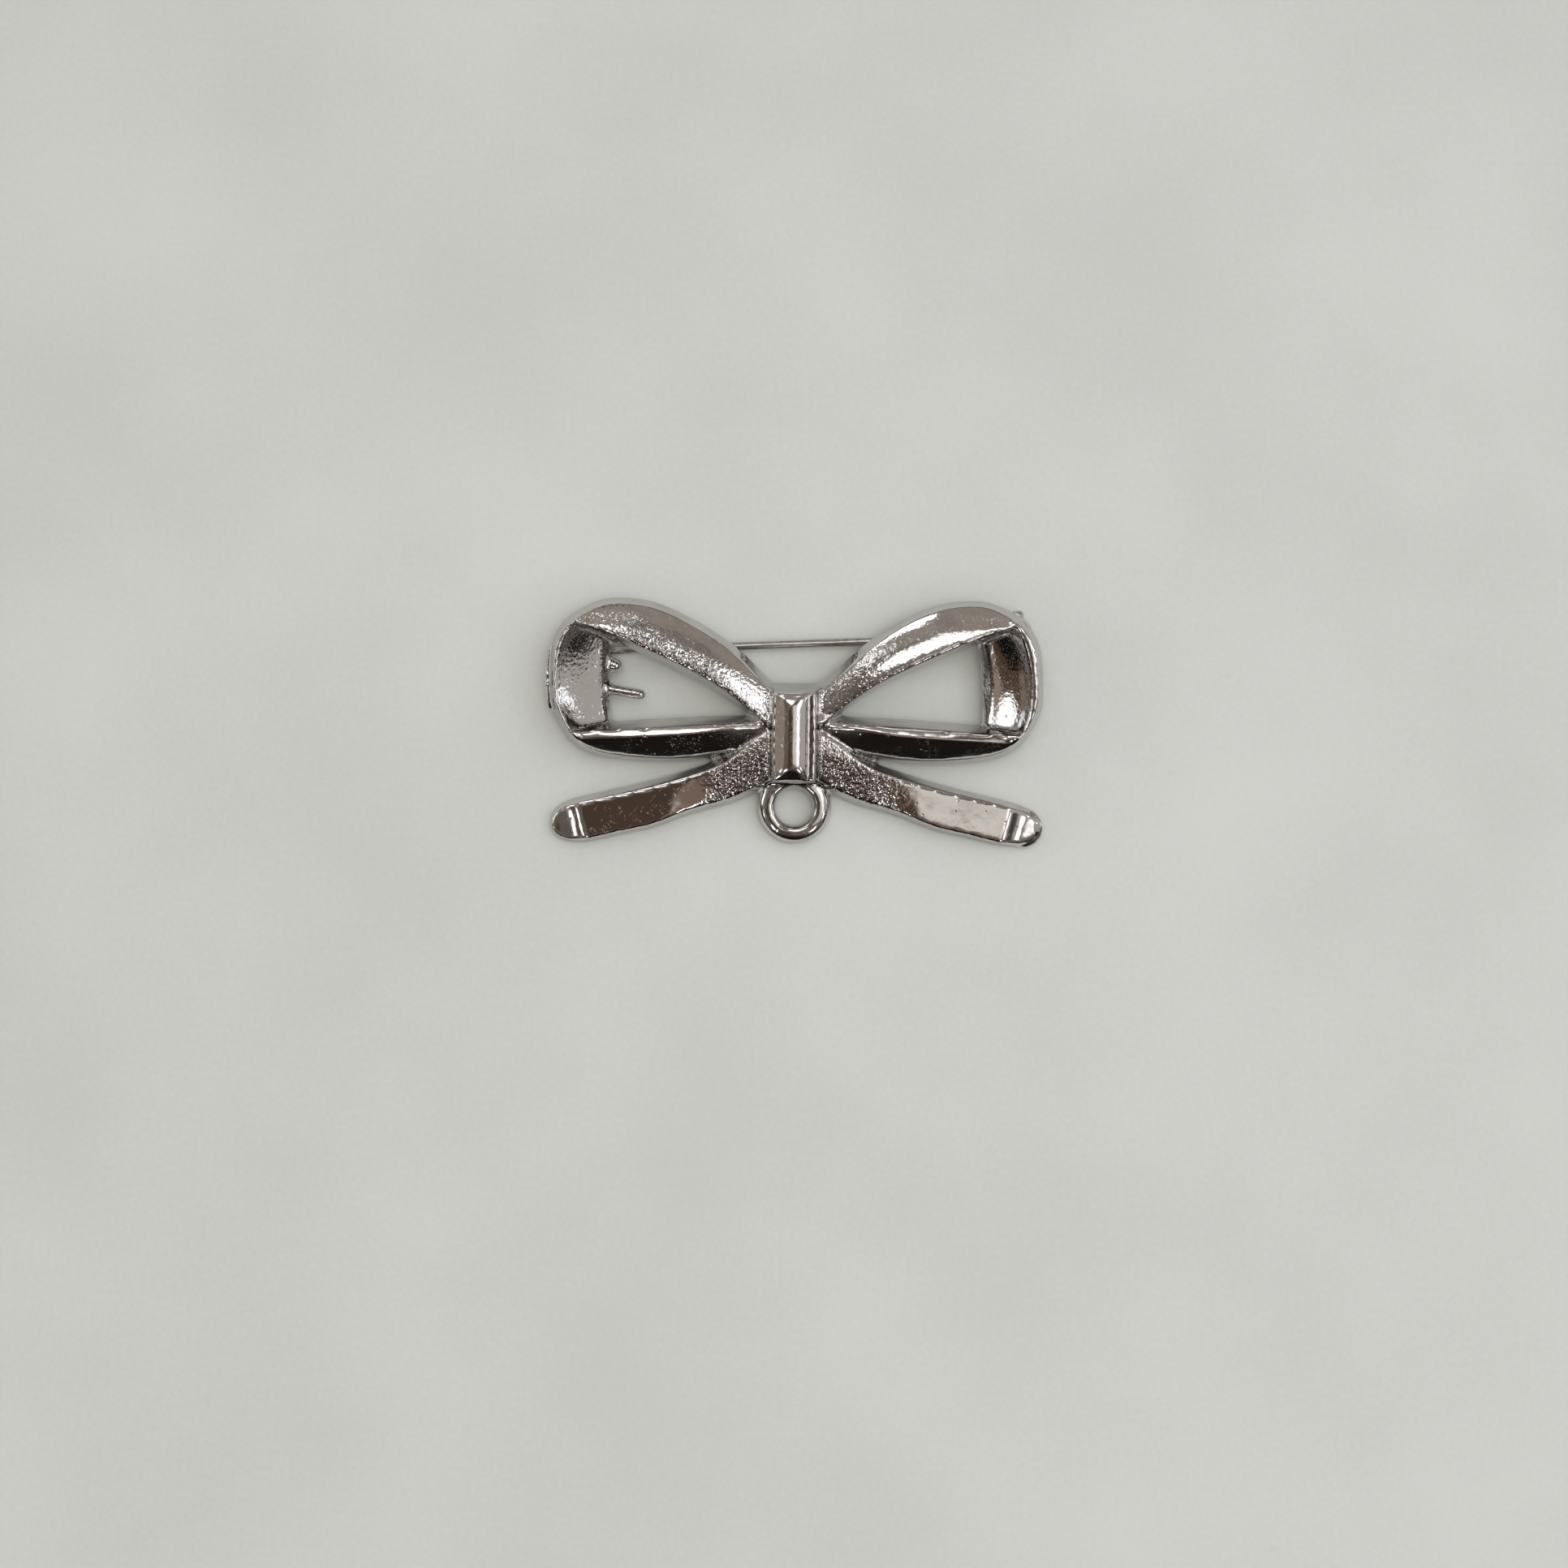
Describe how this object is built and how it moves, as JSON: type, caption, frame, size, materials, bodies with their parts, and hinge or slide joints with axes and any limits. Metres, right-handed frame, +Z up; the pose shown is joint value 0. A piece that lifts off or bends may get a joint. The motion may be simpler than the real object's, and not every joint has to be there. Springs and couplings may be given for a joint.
{
  "type": "bow brooch",
  "caption": "Ribbon bow brooch with open loops, a fixed hanging ring below the knot, and a swinging steel pin held in a snap catch on its back",
  "frame": {"origin": "bottom centre of the bounding box, as the brooch lies on its pin side", "axes": "+X towards the hinge, which is on the right loop as seen from the face; +Y from the tails to the loops; +Z up, out of the face"},
  "size_m": [0.0364, 0.018, 0.0057],
  "materials": {
    "plated_casting": "bright silver plate over a lumpy, finely pitted casting",
    "steel_wire": "drawn wire, dull bright"
  },
  "bodies": {
    "bow": {"bow_casting": "plated_casting", "hinge_rivet": "steel_wire"},
    "pin": {"pin_stem": "steel_wire"}
  },
  "joints": [
    {"name": "pin_swing", "type": "hinge", "parent": "bow", "child": "pin", "pos_m": [0.01636, 0.00664, 0.00106], "axis": [0.0454, -0.9854, -0.1639], "range_deg": [0, 75]}
  ]
}
